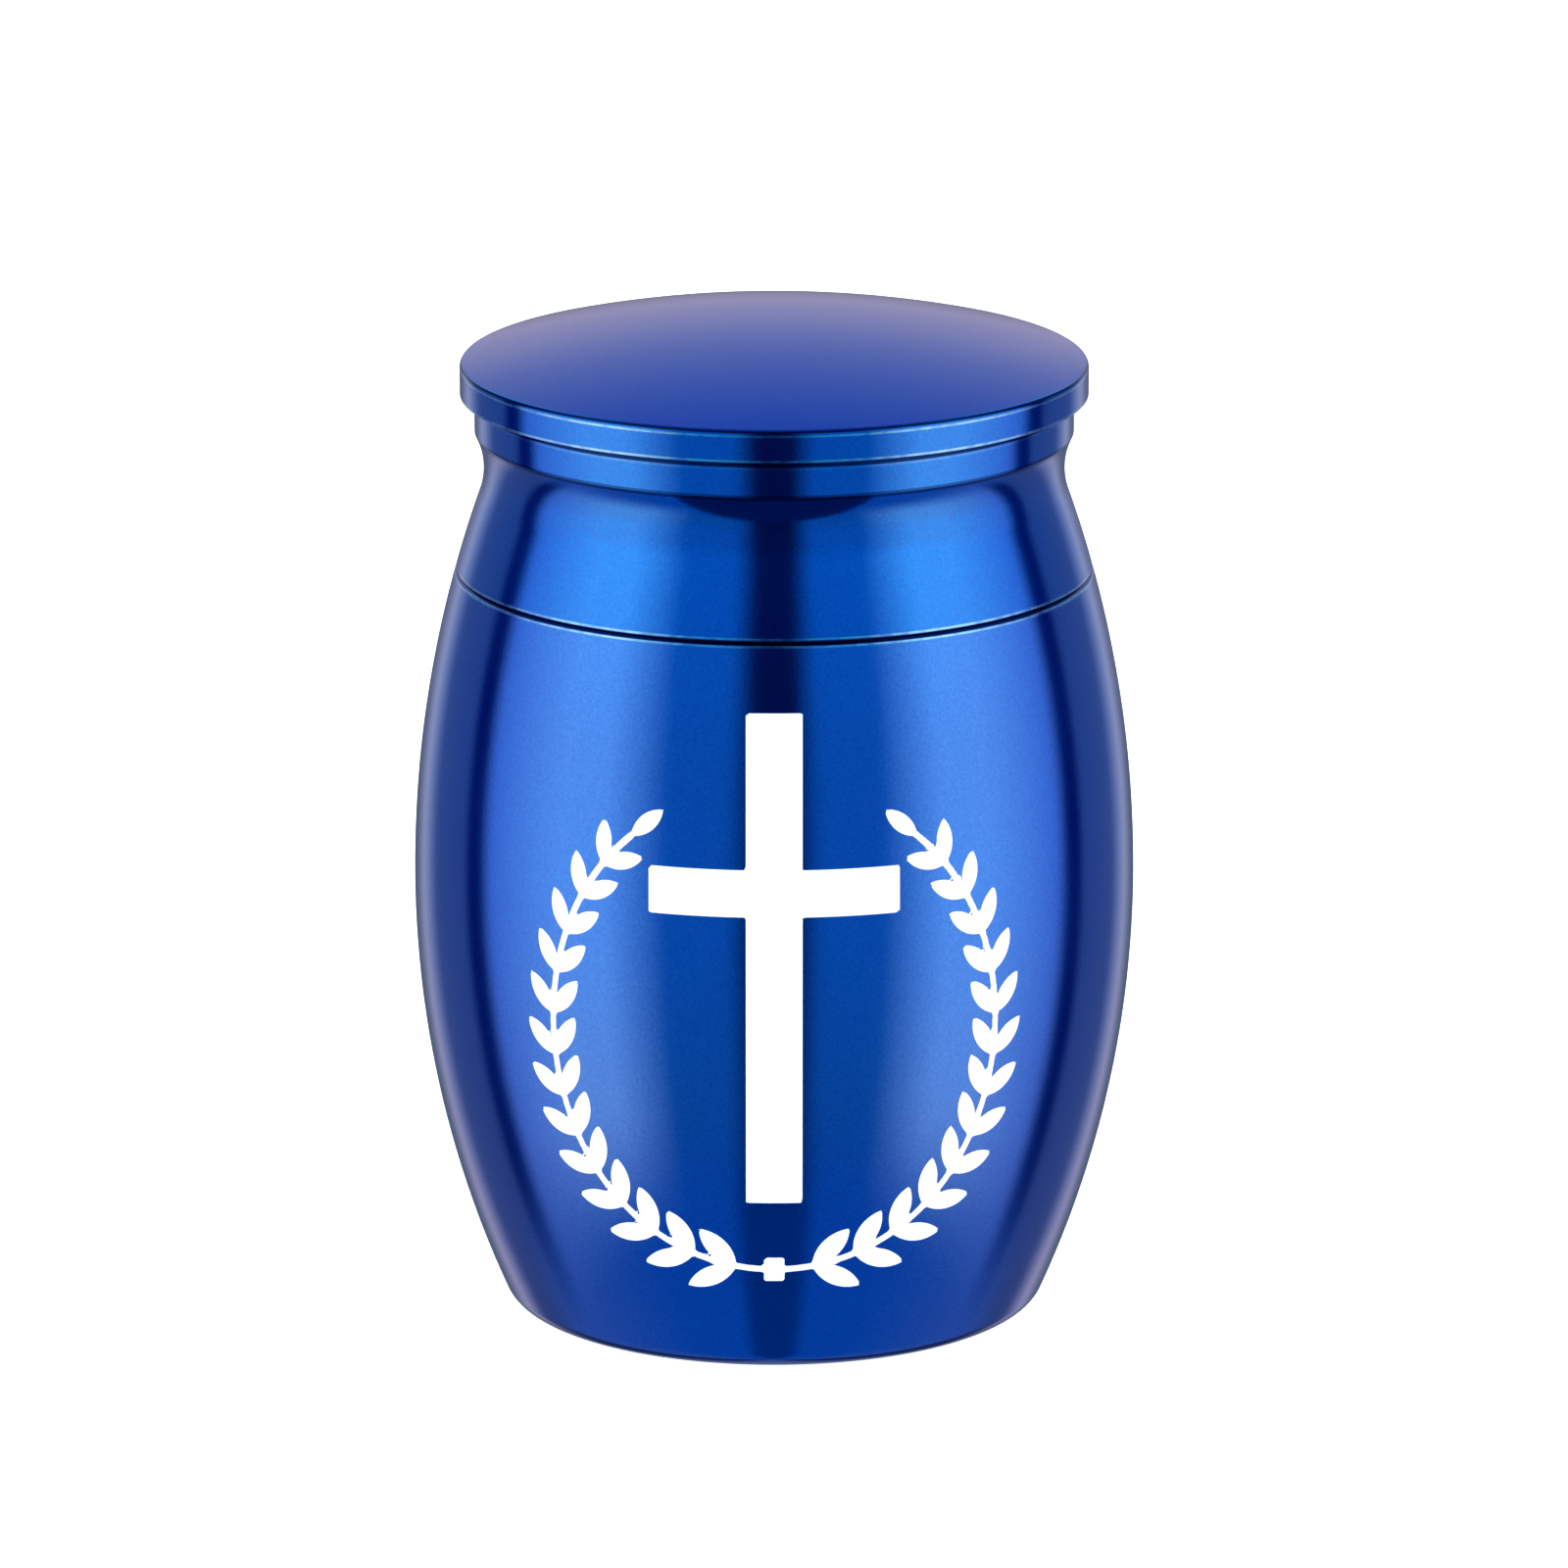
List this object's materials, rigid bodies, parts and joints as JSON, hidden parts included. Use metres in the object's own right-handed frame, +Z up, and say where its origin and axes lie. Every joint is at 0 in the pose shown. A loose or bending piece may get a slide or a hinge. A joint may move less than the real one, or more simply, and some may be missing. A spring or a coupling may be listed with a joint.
{
  "type": "keepsake funeral urn",
  "caption": "Small turned metal keepsake urn: a hollow barrel-shaped body on a flat base, closed by a screw lid with a grooved neck and a domed disc top.",
  "frame": {"origin": "middle of the flat underside, on the turning axis", "axes": "+Z up along the turning axis; the front with the white ornament faces -Y"},
  "size_m": [0.03, 0.03, 0.042],
  "materials": {
    "blue_anodised": "fine turned aluminium, dyed blue and anodised to a satin gloss, with a flush matt white print on the front"
  },
  "bodies": {
    "root": {"urn_body": "blue_anodised", "screw_lid": "blue_anodised"}
  },
  "joints": []
}
